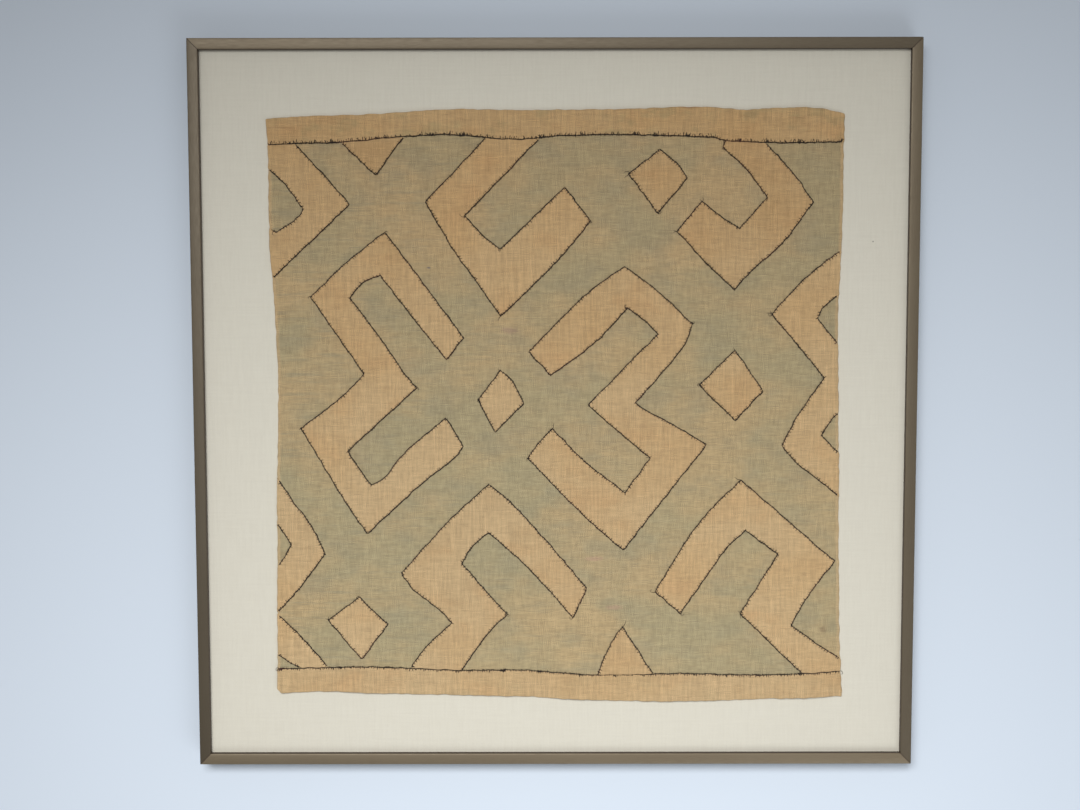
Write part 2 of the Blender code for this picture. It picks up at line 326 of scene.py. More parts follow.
def makeUndyedRaffia():
    material, tree, shader = newMaterial("undyedRaffia")
    place = addNode(tree, "TexCoord").outputs["Object"]
    tint = addNode(tree, "Attribute", attribute_name="pieceTint").outputs["Fac"]
    bandShare = addNode(tree, "Attribute", attribute_name="bandShare").outputs["Fac"]
    weave = weaveOn(tree, place, raffiaLook)
    warmMask = useGroup(tree, blotchGroup, {"Vector": place, "Size": 0.09, "Low": 0.36, "High": 0.68})
    colour = mixColour(tree, warmMask["Mask"], undyedLook["pale"], undyedLook["warm"])
    ruddyMask = useGroup(tree, blotchGroup, {"Vector": place, "Size": 0.045, "Low": 0.50, "High": 0.78})
    ruddyShare = mathNode(tree, "MULTIPLY", ruddyMask["Mask"], 0.50)
    colour = mixColour(tree, ruddyShare, colour, undyedLook["ruddy"])
    # short brown flecks, most of them along the warp
    for scales, strength in (((560.0, 95.0), 0.40), ((110.0, 620.0), 0.28)):
        flecks = noiseValue(tree, stretched(tree, place, *scales), 1.0, 2.0)
        colour = mixColour(tree, remap(tree, flecks, 0.60, 0.78, 0.0, strength), colour, undyedLook["fleck"])
    # the bands have greenish mottles and a few thin dark streaks along their middle
    mottle = useGroup(tree, blotchGroup, {"Vector": place, "Size": 0.020, "Low": 0.52, "High": 0.70})
    mottleShare = mathNode(tree, "MULTIPLY", mathNode(tree, "MULTIPLY", mottle["Mask"], bandShare), 0.42)
    colour = mixColour(tree, mottleShare, colour, undyedLook["mottle"])
    lines = remap(tree, noiseValue(tree, stretched(tree, place, 16.0, 520.0), 1.0, 3.0), 0.63, 0.74, 0.0, 0.42)
    colour = mixColour(tree, mathNode(tree, "MULTIPLY", lines, bandShare), colour, undyedLook["bandStreak"])
    # ribs run up the cloth and fainter bars across it
    ribs = remap(tree, tint, 0.0, 1.0, 0.97, 1.03, "LINEAR")
    for scales, shade in (((470.0, 17.0), undyedLook["ribShade"]), ((22.0, 340.0), undyedLook["barShade"])):
        lines = noiseValue(tree, stretched(tree, place, *scales), 1.0, 2.0)
        ribs = mathNode(tree, "MULTIPLY", ribs, remap(tree, lines, 0.30, 0.70, 1.0 - shade, 1.0 + shade))
    ribShade = addNode(tree, "CombineColor", {0: ribs, 1: ribs, 2: ribs}).outputs[0]
    colour = mixColour(tree, 1.0, colour, ribShade, "MULTIPLY")
    colour = agedTowardsTop(tree, place, colour, undyedLook["aged"])
    colour = threadToneAndHollowShade(tree, colour, weave, undyedLook["streakShade"])
    rough = remap(tree, weave["Height"], 0.0, 1.0, raffiaLook["roughness"][1], raffiaLook["roughness"][0])
    finishCloth(tree, shader, colour, weave["Height"], raffiaLook["weaveDepth"], rough)
    return material


def makeDyedRaffia():
    material, tree, shader = newMaterial("dyedRaffia")
    place = addNode(tree, "TexCoord").outputs["Object"]
    edgeGap = addNode(tree, "Attribute", attribute_name="edgeGap").outputs["Fac"]
    weave = weaveOn(tree, place, raffiaLook)
    brownMask = useGroup(tree, blotchGroup, {"Vector": place, "Size": 0.085, "Low": 0.38, "High": 0.66})
    colour = mixColour(tree, brownMask["Mask"], dyedLook["green"], dyedLook["brown"])
    # cooler, darker drifts where the dye sits, and weft bars in them, strongest on the left
    across = addNode(tree, "SeparateXYZ", {0: place}).outputs[0]
    leftShare = remap(tree, across, -0.30, 0.06, 0.62, 0.26)
    drifts = useGroup(tree, blotchGroup, {"Vector": place, "Size": 0.034, "Low": 0.44, "High": 0.70})
    driftShare = mathNode(tree, "MULTIPLY", drifts["Mask"], 0.42)
    colour = mixColour(tree, driftShare, colour, dyedLook["grey"])
    bars = remap(tree, noiseValue(tree, stretched(tree, place, 15.0, 230.0), 1.0, 4.0, 0.65), 0.50, 0.72)
    barShare = mathNode(tree, "MULTIPLY", bars, leftShare)
    colour = mixColour(tree, barShare, colour, dyedLook["grey"])
    # stains, each a soft uneven spot
    ragged = noiseValue(tree, place, 260.0, 3.0, 0.6)
    for left, up, wide, high, shade, strength in stains:
        spot = addNode(
            tree, "Mapping",
            {"Vector": place, "Location": (-left / wide, -up / high, 0.0), "Scale": (1.0 / wide, 1.0 / high, 0.0)},
        )
        reach = addNode(tree, "VectorMath", {0: spot.outputs[0]}, operation="LENGTH").outputs["Value"]
        uneven = mathNode(tree, "MULTIPLY_ADD", ragged, 1.4, mathNode(tree, "SUBTRACT", reach, 0.7))
        colour = mixColour(tree, remap(tree, uneven, 0.35, 1.25, strength, 0.0), colour, shade)
    hem = remap(tree, edgeGap, 2.0 * mm, 4.5 * mm, 0.70, 0.0)
    colour = mixColour(tree, hem, colour, dyedLook["faded"])
    colour = agedTowardsTop(tree, place, colour, dyedLook["aged"])
    colour = threadToneAndHollowShade(tree, colour, weave, dyedLook["streakShade"])
    rough = remap(tree, weave["Height"], 0.0, 1.0, raffiaLook["roughness"][1], raffiaLook["roughness"][0])
    finishCloth(tree, shader, colour, weave["Height"], raffiaLook["weaveDepth"], rough)
    return material


# Linen and board

linenLook = {
    "warpWidth": 0.62 * mm,
    "weftWidth": 0.70 * mm,
    "wander": 0.7 * mm,
    "streakLength": 55 * mm,
    "weaveDepth": 0.05 * mm,
    "pale": (0.728, 0.706, 0.618, 1),
    "grey": (0.712, 0.688, 0.600, 1),
    "speck": (0.090, 0.080, 0.070, 1),
    "speckPlace": (350 * mm, 182 * mm, 0.0),
    "speckRadius": 1.0 * mm,
    "streakShade": 0.03,
}


def makeLinen():
    material, tree, shader = newMaterial("mountLinen")
    place = addNode(tree, "TexCoord").outputs["Object"]
    weave = weaveOn(tree, place, linenLook)
    # slubs run both ways, a little stronger upwards
    upright = noiseValue(tree, stretched(tree, place, 420.0, 40.0), 1.0, 2.0, 0.5)
    level = noiseValue(tree, stretched(tree, place, 40.0, 420.0), 1.0, 2.0, 0.5)
    slubs = mathNode(tree, "MULTIPLY_ADD", level, 0.4, mathNode(tree, "MULTIPLY", upright, 0.6))
    colour = mixColour(tree, remap(tree, slubs, 0.40, 0.62), linenLook["pale"], linenLook["grey"])
    colour = threadToneAndHollowShade(tree, colour, weave, linenLook["streakShade"])
    flat = addNode(tree, "VectorMath", {0: place, 1: (1.0, 1.0, 0.0)}, operation="MULTIPLY").outputs[0]
    reach = addNode(
        tree, "VectorMath", {0: flat, 1: linenLook["speckPlace"]}, operation="DISTANCE"
    ).outputs["Value"]
    speck = remap(tree, reach, 0.4 * linenLook["speckRadius"], linenLook["speckRadius"], 0.8, 0.0)
    colour = mixColour(tree, speck, colour, linenLook["speck"])
    height = mathNode(tree, "ADD", weave["Height"], mathNode(tree, "MULTIPLY", slubs, 0.8))
    rough = remap(tree, weave["Height"], 0.0, 1.0, 0.95, 0.85)
    finishCloth(tree, shader, colour, height, linenLook["weaveDepth"], rough)
    return material


def makeBoardCard():
    material, tree, shader = newMaterial("boardCard")
    place = addNode(tree, "TexCoord").outputs["Object"]
    fibres = noiseValue(tree, place, 900.0, 3.0, 0.6)
    colour = mixColour(tree, remap(tree, fibres, 0.3, 0.7), (0.47, 0.42, 0.33, 1), (0.55, 0.50, 0.41, 1))
    rough = remap(tree, fibres, 0.0, 1.0, 0.85, 0.95)
    finishCloth(tree, shader, colour, fibres, 0.03 * mm, rough)
    return material


# Bronze leaf on the rails: U runs along the rail and V round its section, both in metres

bronzeLook = {
    "leaf": (0.192, 0.156, 0.104, 1),
    "dark": (0.152, 0.119, 0.078, 1),
    "worn": (0.270, 0.220, 0.150, 1),
    # sight: the rebate's brown paint, made dark to stand in for shade on the inner walls; the mitre dirt takes this
    # colour too
    "sight": (0.060, 0.038, 0.026, 1),
    "metallic": 0.35,
    "roughness": (0.40, 0.54),
    "mitreDirt": 0.55,
    "mitreWide": 0.75 * mm,
}


def makeBronzeLeaf():
    material, tree, shader = newMaterial("bronzeLeaf")
    coordinates = addNode(tree, "TexCoord")
    place = coordinates.outputs["UV"]
    edgeGap = addNode(tree, "Attribute", attribute_name="arrisGap").outputs["Fac"]
    lipDrop = addNode(tree, "Attribute", attribute_name="lipDrop").outputs["Fac"]
    mitreGap = addNode(tree, "Attribute", attribute_name="mitreGap").outputs["Fac"]
    brush = noiseValue(tree, stretched(tree, place, 90.0, 1100.0), 1.0, 3.0, 0.6)
    cloud = noiseValue(tree, stretched(tree, place, 9.0, 30.0), 1.0, 4.0, 0.6)
    colour = mixColour(tree, remap(tree, brush, 0.2, 0.8), bronzeLook["dark"], bronzeLook["leaf"])
    colour = mixColour(tree, remap(tree, cloud, 0.35, 0.7, 0.0, 0.6), colour, bronzeLook["leaf"])
    rubbed = mathNode(
        tree, "MULTIPLY", remap(tree, edgeGap, 0.2 * mm, 1.1 * mm, 1.0, 0.0), remap(tree, cloud, 0.35, 0.6)
    )
    colour = mixColour(tree, mathNode(tree, "MULTIPLY", rubbed, 0.45), colour, bronzeLook["worn"])
    # painted light and shade: each rail's leaf is made brighter or darker, as the light falls on it, by a factor that
    # runs along the rail
    railLightShade = addNode(tree, "Attribute", attribute_name="railLightShade").outputs["Fac"]
    paintedRailLight = addNode(tree, "CombineColor", {0: railLightShade, 1: railLightShade, 2: railLightShade}).outputs[0]
    colour = mixColour(tree, 1.0, colour, paintedRailLight, "MULTIPLY")
    # the sight edge is brown paint made dark as painted shade in the rebate, and dirt lies in the mitres
    colour = mixColour(tree, remap(tree, lipDrop, 0.7 * mm, 1.6 * mm), colour, bronzeLook["sight"])
    dirt = remap(tree, mitreGap, 0.25 * bronzeLook["mitreWide"], bronzeLook["mitreWide"], bronzeLook["mitreDirt"], 0.0)
    colour = mixColour(tree, dirt, colour, bronzeLook["sight"])
    rough = remap(tree, brush, 0.2, 0.8, bronzeLook["roughness"][1], bronzeLook["roughness"][0])
    bump = addNode(tree, "Bump", {"Height": brush, "Distance": 0.012 * mm, "Strength": 1.0})
    tree.links.new(colour, shader.inputs["Base Color"])
    tree.links.new(rough, shader.inputs["Roughness"])
    tree.links.new(bump.outputs[0], shader.inputs["Normal"])
    shader.inputs["Metallic"].default_value = bronzeLook["metallic"]
    return material


def makeDarkThread():
    material, tree, shader = newMaterial("darkThread")
    place = addNode(tree, "TexCoord").outputs["Object"]
    red = remap(tree, noiseValue(tree, place, 26.0, 2.0), 0.50, 0.72, 0.0, 0.8)
    colour = mixColour(tree, red, (0.020, 0.014, 0.011, 1), (0.060, 0.024, 0.018, 1))
    fibres = noiseValue(tree, place, 2600.0, 2.0)
    colour = mixColour(tree, remap(tree, fibres, 0.50, 0.80, 0.0, 0.4), colour, (0.075, 0.050, 0.036, 1))
    rough = remap(tree, fibres, 0.0, 1.0, 0.7, 0.9)
    finishCloth(tree, shader, colour, fibres, 0.05 * mm, rough)
    return material


undyedRaffia = makeUndyedRaffia()
dyedRaffia = makeDyedRaffia()
mountLinen = makeLinen()
boardCard = makeBoardCard()
bronzeLeaf = makeBronzeLeaf()
darkThread = makeDarkThread()
print("finishes made")


# Rails

railShape = {
    "face": 12 * mm,
    "wall": 6 * mm,
    "lip": 7 * mm,
    "arris": 0.8 * mm,
    "crown": 0.35 * mm,
    "arcSteps": 4,
    "crownSteps": 8,
    "mitreTrim": 0.01 * mm,  # the solids already end a hair short of each other
    "ringPlaces": (1.5 * mm, 4 * mm),
    # painted light and shade on each rail's leaf: a brightness factor at its start and its end going round, higher
    # where light falls on the rail and lower where it falls less
    "tones": {
        "rail_bottom": (1.00, 1.09), "rail_right": (0.58, 1.05),
        "rail_top": (0.72, 1.02), "rail_left": (0.73, 0.46),
    },
}


def railSection(depth):
    # (across from the outer side, up) round the rail, counter-clockwise from the outer back corner
    face, wall, lip, arris = (railShape[k] for k in ("face", "wall", "lip", "arris"))
    section = [(0.0, 0.0), (wall, 0.0), (wall, depth - lip), (face, depth - lip)]

    def crownAt(across):
        return railShape["crown"] * (1.0 - (2.0 * across / face - 1.0) ** 2)

    shoulder = depth - railShape["crown"]
    corner = shoulder - arris + crownAt(arris)
    for step in range(railShape["arcSteps"]):
        turn = math.pi / 2 * step / railShape["arcSteps"]
        section.append((face - arris + arris * math.cos(turn), corner + arris * math.sin(turn)))
    for step in range(railShape["crownSteps"] + 1):
        across = face - arris - (face - 2 * arris) * step / railShape["crownSteps"]
        section.append((across, shoulder + crownAt(across)))
    for step in range(railShape["arcSteps"]):
        turn = math.pi / 2 * (1 + (step + 1) / railShape["arcSteps"])
        section.append((arris + arris * math.cos(turn), corner + arris * math.sin(turn)))
    return section


def makeRail(node, outward):
    low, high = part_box(node)
    middle = (low + high) / 2
    along = Vector((-outward.y, outward.x, 0))
    size = high - low
    length = max(size.x, size.y)
    depth = high.z - low.z
    outerSide = Vector((middle.x, middle.y, 0)) + outward * min(size.x, size.y) / 2
    section = railSection(depth)
    start = outerSide - along * (length / 2)
    points = [start - outward * across + Vector((0, 0, low.z + up)) for across, up in section]
    rail = newPiece(node.replace("rail_", "bronzeRail_"), points, [list(range(len(points)))])
    makeActive(rail)
    bpy.ops.object.mode_set(mode="EDIT")
    bpy.ops.mesh.select_all(action="SELECT")
    bpy.ops.mesh.extrude_region_move(TRANSFORM_OT_translate={"value": along * length})
    for side in (-1, 1):
        # a mitre shortens the rail towards its inner edge, so its plane faces along and inwards
        facing = along * side - outward
        for inset in railShape["ringPlaces"]:  # rings of edges that carry the dirt in the mitres
            bpy.ops.mesh.select_all(action="SELECT")
            bpy.ops.mesh.bisect(plane_co=outerSide + along * side * (length / 2 - inset), plane_no=facing)
        bpy.ops.mesh.select_all(action="SELECT")
        bpy.ops.mesh.bisect(
            plane_co=outerSide + along * side * (length / 2 - railShape["mitreTrim"]),
            plane_no=facing,
            clear_outer=True,
            use_fill=True,
        )
    bpy.ops.mesh.select_all(action="SELECT")
    bpy.ops.mesh.normals_make_consistent(inside=False)
    bpy.ops.object.mode_set(mode="OBJECT")
    # surface coordinates: metres along the rail, and round its section
    rail.data.uv_layers.new(name="grain")
    labels = ("arrisGap", "lipDrop", "mitreGap", "railLightShade")
    for label in labels:  # all made before any is used, because a new one moves the others
        rail.data.attributes.new(label, "FLOAT", "POINT")
    arris, lipDrop, mitreGap, railLightShade = (rail.data.attributes[label] for label in labels)
    grain = rail.data.uv_layers["grain"]
    outerEdge, innerEdge = 0.0, railShape["face"]
    # painted light and shade on this rail, at its start and its end
    startLight, endLight = railShape["tones"][node]
    for loop in rail.data.loops:
        spot = rail.data.vertices[loop.vertex_index].co
        across = (outerSide - spot).dot(outward)
        around = across - (spot.z - low.z)
        grain.data[loop.index].uv = (spot.dot(along) + 2.0 * abs(outward.y), around)
    for vertex in rail.data.vertices:
        across = (outerSide - vertex.co).dot(outward)
        drop = high.z - vertex.co.z
        arris.data[vertex.index].value = min(across - outerEdge, innerEdge - across) + drop
        # the drop down the inner wall, where the sight edge's paint and painted shade go
        lipDrop.data[vertex.index].value = drop if across > innerEdge - mm / 10 else 0.0
        fromEnd = length / 2 - abs((vertex.co - middle).dot(along))
        mitreGap.data[vertex.index].value = max(0.0, fromEnd - across) / math.sqrt(2)
        reached = 0.5 + (vertex.co - middle).dot(along) / length
        railLightShade.data[vertex.index].value = startLight + (endLight - startLight) * reached
    shadeSmooth(rail, 28)
    dress(rail, bronzeLeaf, "bronze_leaf", node)
    return rail


for side, outward in (
    ("rail_bottom", Vector((0, -1, 0))),
    ("rail_right", Vector((1, 0, 0))),
    ("rail_top", Vector((0, 1, 0))),
    ("rail_left", Vector((-1, 0, 0))),
):
    makeRail(side, outward)
print("rails made")


# Board, with the linen stretched over it and turned on its back

mountShape = {
    "linenThick": 0.5 * mm,
    "turnedIn": 34 * mm,
    "edgeRadius": 1.2 * mm,
}
boardLow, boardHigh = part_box("mount_board")


def makeLinenCover():
    size = boardHigh - boardLow
    middle = (boardLow + boardHigh) / 2
    deselectAll()
    bpy.ops.mesh.primitive_cube_add(size=1, location=middle, scale=size)
    cover = bpy.context.object
    cover.name = "linen_cover"
    bpy.ops.object.transform_apply(location=True, rotation=True, scale=True)
    bpy.ops.object.mode_set(mode="EDIT")
    bpy.ops.mesh.select_all(action="DESELECT")
    bpy.ops.mesh.select_mode(type="FACE")
    shape = bmesh.from_edit_mesh(cover.data)
    for face in shape.faces:
        face.select_set(face.normal.z < -0.5)
    bmesh.update_edit_mesh(cover.data)
    bpy.ops.mesh.inset(thickness=mountShape["turnedIn"])
    bpy.ops.mesh.delete(type="FACE")
    bpy.ops.mesh.select_all(action="DESELECT")
    bpy.ops.mesh.select_mode(type="EDGE")
    shape = bmesh.from_edit_mesh(cover.data)
    for edge in shape.edges:  # the board's own twelve edges, and not the turned-in margin's
        corners = [v.co for v in edge.verts]
        onSides = all(
            abs(abs(c.x - middle.x) - size.x / 2) < mm / 10 and abs(abs(c.y - middle.y) - size.y / 2) < mm / 10
            for c in corners
        )
        edge.select_set(onSides)
    bmesh.update_edit_mesh(cover.data)
    bpy.ops.mesh.bevel(offset=mountShape["edgeRadius"], segments=3, affect="EDGES")
    bpy.ops.object.mode_set(mode="OBJECT")
    applyModifier(
        cover, "SOLIDIFY", thickness=mountShape["linenThick"], offset=-1, use_even_offset=True
    )
    shadeSmooth(cover, 40)
    dress(cover, mountLinen, "mount_linen", "mount_board")
    return cover


def makeBoardCore():
    inset = Vector((1, 1, 1)) * (mountShape["linenThick"] + 0.05 * mm)
    low, high = boardLow + inset, boardHigh - inset
    deselectAll()
    bpy.ops.mesh.primitive_cube_add(size=1, location=(low + high) / 2, scale=high - low)
    core = bpy.context.object
    core.name = "board_core"
    bpy.ops.object.transform_apply(location=True, rotation=True, scale=True)
    applyModifier(core, "BEVEL", width=0.6 * mm, segments=2)
    shadeSmooth(core, 40)
    dress(core, boardCard, "mount_linen", "mount_board")
    return core


makeBoardCore()
makeLinenCover()
print("board and linen made")


# How the cloth lies: the solids' waves, with small cockles on them

drape = {
    "rippleHeight": 0.35 * mm,
    "rippleAcross": 230 * mm,
    "rippleUp": 310 * mm,
    "lowerHeight": 1.1 * mm,
    "lowerLength": 118 * mm,
    "lowerDrift": 310 * mm,
    "lowerTop": -215 * mm,
    "lowerFull": -325 * mm,
    "cockleHeight": 0.22 * mm,
    "cockleSize": 34 * mm,
    "edgeWander": 0.95 * mm,
    "edgeWanderSize": 8 * mm,
}
clothLevel = boardHigh.z + 0.3 * mm  # the ground cloth's underside at the wave's lowest
layers = {
    "groundThick": 1.0 * mm,
    "groundHem": 0.35 * mm,
    "patchThick": 0.6 * mm,
    "patchInner": 2.15 * mm,
    "patchRim": 2.5 * mm,
    "patchEdge": 1.45 * mm,
    "rimWide": 4.5 * mm,
    "wrapOut": 0.45 * mm,
    "groundHemWide": 8 * mm,
    "turnedEdge": 3 * mm,
}


def clothLift(x, y):
    ripple = 1.0 + math.sin(tau * (x / drape["rippleAcross"] + y / drape["rippleUp"]))
    drift = math.sin(tau * x / drape["lowerDrift"])
    lower = 1.0 + math.sin(tau * x / drape["lowerLength"] + drift)
    share = float(easeStep(drape["lowerTop"], drape["lowerFull"], y))
    cockle = noise.noise(Vector((x, y * 1.3, 0.37)) / drape["cockleSize"])
    return (
        drape["rippleHeight"] * ripple
        + drape["lowerHeight"] * lower * share
        + drape["cockleHeight"] * cockle
    )


# Outlines, read from the solids' upper faces

def outlineOf(node):
    shape = bmesh.new()
    shape.from_mesh(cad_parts[node].data)
    bmesh.ops.remove_doubles(shape, verts=shape.verts, dist=mm / 1000)
    shape.normal_update()
    upper = {face for face in shape.faces if face.normal.z > 0.5}
    beside = {}
    for edge in shape.edges:
        if sum(face in upper for face in edge.link_faces) == 1:
            a, b = edge.verts
            beside.setdefault(a, []).append(b)
            beside.setdefault(b, []).append(a)
    first = min(beside, key=lambda v: (round(v.co.x, 6), round(v.co.y, 6)))
    ring, last, here = [first], None, first
    while True:
        ahead = [v for v in beside[here] if v is not last]
        last, here = here, ahead[0]
        if here is first:
            break
        ring.append(here)
    outline = np.array([(v.co.x, v.co.y) for v in ring])
    shape.free()
    if signedArea(outline) < 0:
        outline = outline[::-1]
    # the walk may go either way round, so its start is settled by place, the same in every run
    start = min(range(len(outline)), key=lambda i: tuple(np.round(outline[i], 6)))
    return np.roll(outline, -start, axis=0)


def signedArea(outline):
    ahead = np.roll(outline, -1, axis=0)
    return 0.5 * float(np.sum(outline[:, 0] * ahead[:, 1] - ahead[:, 0] * outline[:, 1]))


def evenly(outline, step):
    # points a step apart along the outline, with every sharp corner kept as a point
    ahead = np.roll(outline, -1, axis=0) - outline
    heading = np.arctan2(ahead[:, 1], ahead[:, 0])
    turn = np.abs((heading - np.roll(heading, 1) + math.pi) % tau - math.pi)
    corners = np.flatnonzero(turn > math.radians(24))
    outline = np.roll(outline, -corners[0], axis=0)
    corners = [*(corners - corners[0]), len(outline)]
    closed = np.vstack([outline, outline[:1]])
    reached = np.concatenate([[0.0], np.cumsum(np.hypot(*np.diff(closed, axis=0).T))])
    wanted = []
    for first, last in zip(corners, corners[1:]):
        count = max(1, round((reached[last] - reached[first]) / step))
        wanted.extend(np.linspace(reached[first], reached[last], count, endpoint=False))
    return np.column_stack([np.interp(wanted, reached, closed[:, k]) for k in (0, 1)])


def handWorked(outline):
    # corners barely eased by the turned edge, and a small wander that every layer shares
    soft = evenly(outline, outlineStep)
    soft = (np.roll(soft, 1, axis=0) + 6 * soft + np.roll(soft, -1, axis=0)) / 8
    moved = []
    for x, y in soft:
        pull = noise.noise_vector(Vector((x, y, 0.0)) / drape["edgeWanderSize"])
        moved.append((x + pull.x * drape["edgeWander"], y + pull.y * drape["edgeWander"]))
    return np.array(moved)


def inwardOf(outline):
    ahead = np.roll(outline, -1, axis=0) - np.roll(outline, 1, axis=0)
    ahead /= np.linalg.norm(ahead, axis=1)[:, None]
    return np.column_stack([-ahead[:, 1], ahead[:, 0]])


def treeOf(points):
    tree = kdtree.KDTree(len(points))
    for index, (x, y) in enumerate(points):
        tree.insert((x, y, 0.0), index)
    tree.balance()
    return tree


def distancesTo(tree, points):
    return np.array([tree.find((x, y, 0.0))[2] for x, y in points])


def insideOf(outline, points):
    inside = np.zeros(len(points), bool)
    for a, b in zip(outline, np.roll(outline, -1, axis=0)):
        crosses = (a[1] > points[:, 1]) != (b[1] > points[:, 1])
        if crosses.any():
            at = a[0] + (points[:, 1] - a[1]) / (b[1] - a[1] + 1e-12) * (b[0] - a[0])
            inside ^= crosses & (points[:, 0] < at)
    return inside


outlineStep = 1.5 * mm
sewnNodes = [n for n in sorted(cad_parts) if n.startswith(("patch_", "band_"))]
outlines = {n: handWorked(outlineOf(n)) for n in ["ground_cloth", *sewnNodes]}
outlineTrees = {n: treeOf(o) for n, o in outlines.items()}
print("outlines read:", {n: len(o) for n, o in outlines.items()})


# Sheets

def flatSheet(name, outline, rings, pitch, heightAt, thick):
    # rings of points follow the outline inwards, and an even spread fills the middle
    tree = treeOf(outline)
    inward = inwardOf(outline)
    points = [Vector(p) for p in outline]
    edges = [(i, (i + 1) % len(outline)) for i in range(len(outline))]
    for number, inset in enumerate(rings):
        stride = 1 if number < 3 else 2
        for x, y in (outline + inward * inset)[::stride]:
            if tree.find((x, y, 0.0))[2] > 0.92 * inset:
                points.append(Vector((x, y)))
    low, high = outline.min(axis=0), outline.max(axis=0)
    grid = []
    for row, y in enumerate(np.arange(low[1], high[1], pitch * 0.87)):
        shift = 0.5 * pitch * (row % 2)
        grid.extend((x, y) for x in np.arange(low[0] + shift, high[0], pitch))
    grid = np.array(grid)
    grid = grid[insideOf(outline, grid)]
    grid = grid[distancesTo(tree, grid) > rings[-1] + 0.5 * pitch]
    points.extend(Vector(p) for p in grid)
    spread, _, faces, *_ = geometry.delaunay_2d_cdt(points, edges, [], 1, 1e-7)
    spread = np.array([tuple(p) for p in spread])
    nearest = [tree.find((x, y, 0.0)) for x, y in spread]
    gaps = np.array([found[2] for found in nearest])
    index = np.array([found[1] for found in nearest])
    heights = heightAt(spread, gaps, index)
    piece = newPiece(name, [(x, y, z) for (x, y), z in zip(spread, heights)], faces)
    edgeGap = piece.data.attributes.new("edgeGap", "FLOAT", "POINT")
    edgeGap.data.foreach_set("value", gaps.astype(np.float32))
    makeActive(piece)
    bpy.ops.object.mode_set(mode="EDIT")
    bpy.ops.mesh.select_all(action="SELECT")
    bpy.ops.mesh.delete_loose()
    bpy.ops.mesh.select_all(action="SELECT")
    bpy.ops.mesh.normals_make_consistent(inside=False)
    bpy.ops.object.mode_set(mode="OBJECT")
    if piece.data.polygons[0].normal.z < 0:
        piece.data.flip_normals()
    applyModifier(piece, "SOLIDIFY", thickness=thick, offset=-1)
    return piece


def declareSheet(outline, hem):
    width, length = (outline.max(axis=0) - outline.min(axis=0)) + 2 * hem
    around = float(np.sum(np.hypot(*(np.roll(outline, -1, axis=0) - outline).T)))
    area = abs(signedArea(outline)) + around * hem
    area = min(max(area, 0.3 * width * length), width * length)


def makeGround():
    outline = outlines["ground_cloth"]

    def heightAt(points, gaps, index):
        lift = np.array([clothLift(x, y) for x, y in points])
        rounded = easeStep(-0.3 * mm, 0.8 * mm, gaps)
        top = layers["groundHem"] + (layers["groundThick"] - layers["groundHem"]) * rounded
        return clothLevel + lift + top

    rings = [r * mm for r in (0.4, 0.9, 1.8, 3.5)]
    ground = flatSheet("ground_cloth_sheet", outline, rings, 4.6 * mm, heightAt, 0.8 * mm)
    shadeSmooth(ground, 50)
    dress(ground, dyedRaffia, "dyed_raffia", "ground_cloth")
    declareSheet(outline, layers["groundHemWide"])
    return ground


# Stitching

stitchLook = {
    "cordRadius": 0.50 * mm,
    "legRadius": 0.42 * mm,
    "cordWander": 0.60 * mm,
    "cordSwell": 1.00,
    "hiddenWithin": 1.5 * mm,
}
patchStitch = {
    "spacing": 3.4 * mm, "leg": 1.9 * mm, "legVary": 1.0 * mm, "outwards": 1.35 * mm, "slant": 0.30,
    "pucker": 0.14 * mm, "decay": 2.2 * mm, "clumpEvery": 0.0,
}
bandStitches = {
    "band_top": {
        "spacing": 1.9 * mm, "leg": 2.3 * mm, "legVary": 2.3 * mm, "outwards": 1.3 * mm, "slant": 0.50,
        "pucker": 0.28 * mm, "decay": 3.6 * mm, "clumpEvery": 36 * mm,
    },
    "band_bottom": {
        "spacing": 2.4 * mm, "leg": 1.5 * mm, "legVary": 1.3 * mm, "outwards": 1.2 * mm, "slant": 0.40,
        "pucker": 0.28 * mm, "decay": 3.6 * mm, "clumpEvery": 70 * mm,
    },
}
# a worn stretch of the bottom seam, across, where the thread shows only as separate dots
wornSeam = {
    "node": "band_bottom", "from": 50 * mm, "to": 96 * mm,
    "dots": 5 * mm, "bareFrom": 69 * mm, "bareTo": 75 * mm,
}
looseEnds = {"share": 0.6, "long": (3.5 * mm, 9 * mm), "radius": 0.30 * mm, "steps": 10, "corner": 50}


def stitchedMask(node):
    # the edge is sewn except along the cloth's own outline and under a band's seam
    outline = outlines[node]
    others = ["ground_cloth"]
    if node.startswith("patch_"):
        others += ["band_top", "band_bottom"]
    mask = np.ones(len(outline), bool)
    for other in others:
        mask &= distancesTo(outlineTrees[other], outline) > stitchLook["hiddenWithin"]
    return mask


def stitchRuns(mask):
    # (first, last) index of each sewn stretch, which may pass the outline's start
    if mask.all():
        return [(0, len(mask))]
    runs, count = [], len(mask)
    start = int(np.argmin(mask))
    begun = None
    for step in range(count + 1):
        here = mask[(start + step) % count]
        if here and begun is None:
            begun = start + step
        if not here and begun is not None:
            if start + step - begun > 4:
                runs.append((begun, start + step - 1))
            begun = None
    return runs


def legPlaces(node, look, draw):
    # places of the stitches along each sewn stretch, as fractions of an index
    places = []
    for first, last in stitchRuns(stitchedMask(node)):
        at = float(first)
        clumpAt = at + draw.uniform(0.2, 1.0) * look["clumpEvery"] / outlineStep
        while at < last:
            places.append(at)
            inClump = look["clumpEvery"] and clumpAt < at < clumpAt + 4
            if look["clumpEvery"] and at > clumpAt + 4:
                clumpAt = at + draw.uniform(0.4, 1.5) * look["clumpEvery"] / outlineStep
            stride = 0.3 if inClump else draw.uniform(0.7, 1.35)
            at += look["spacing"] * stride / outlineStep
    return places


